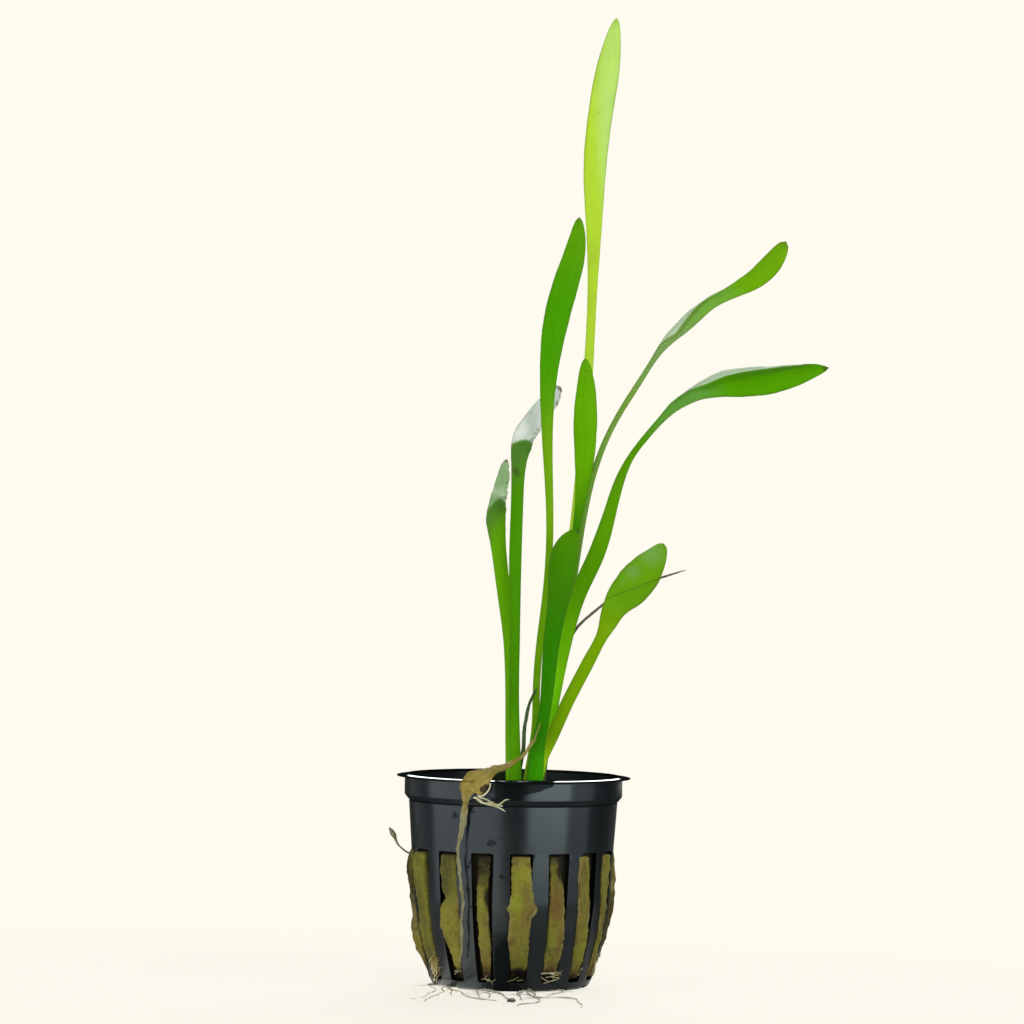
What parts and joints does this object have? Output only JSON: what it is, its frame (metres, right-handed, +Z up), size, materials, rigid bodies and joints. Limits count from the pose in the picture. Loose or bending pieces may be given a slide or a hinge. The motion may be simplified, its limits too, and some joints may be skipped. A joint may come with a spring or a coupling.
{
  "type": "potted aquarium plant",
  "caption": "Dwarf sagittaria aquarium plant: strap-shaped green leaves rising from rock wool in a small black net pot, with a dead leaf over the rim and roots trailing at its foot.",
  "frame": {"origin": "centre of the pot's foot, on the surface that it stands on", "axes": "+Z up along the pot's axis; +X to the right as the plant is seen from the front; -Y towards the front, where the dead leaf hangs over the rim"},
  "size_m": [0.0993, 0.087, 0.2238],
  "materials": {
    "pot_plastic": "gloss",
    "rock_wool": "matte",
    "crown_tissue": "satin",
    "leaf_lime": "satin",
    "leaf_green": "satin",
    "leaf_dark": "satin",
    "dead_tissue": "matte",
    "root_tissue": "matte"
  },
  "bodies": {
    "root": {"net_pot": "pot_plastic", "rockwool_plug": "rock_wool", "crown_left": "crown_tissue", "crown_right": "crown_tissue", "crown_back": "crown_tissue", "leaf_tall": "leaf_lime", "leaf_left_high": "leaf_green", "leaf_middle": "leaf_green", "leaf_right_high": "leaf_green", "leaf_right_low": "leaf_green", "leaf_front": "leaf_green", "leaf_lower_right": "leaf_green", "leaf_left_fold": "leaf_green", "leaf_left_low": "leaf_green", "leaf_needle": "leaf_dark", "shoot": "leaf_dark", "side_sprig": "leaf_dark", "dead_leaf": "dead_tissue", "rim_root_1": "root_tissue", "rim_root_2": "root_tissue", "root_1": "root_tissue", "root_2": "root_tissue", "root_3": "root_tissue", "root_4": "root_tissue", "root_5": "root_tissue", "root_6": "root_tissue", "root_7": "root_tissue", "root_8": "root_tissue", "root_9": "root_tissue", "root_10": "root_tissue", "root_11": "root_tissue"}
  },
  "joints": []
}
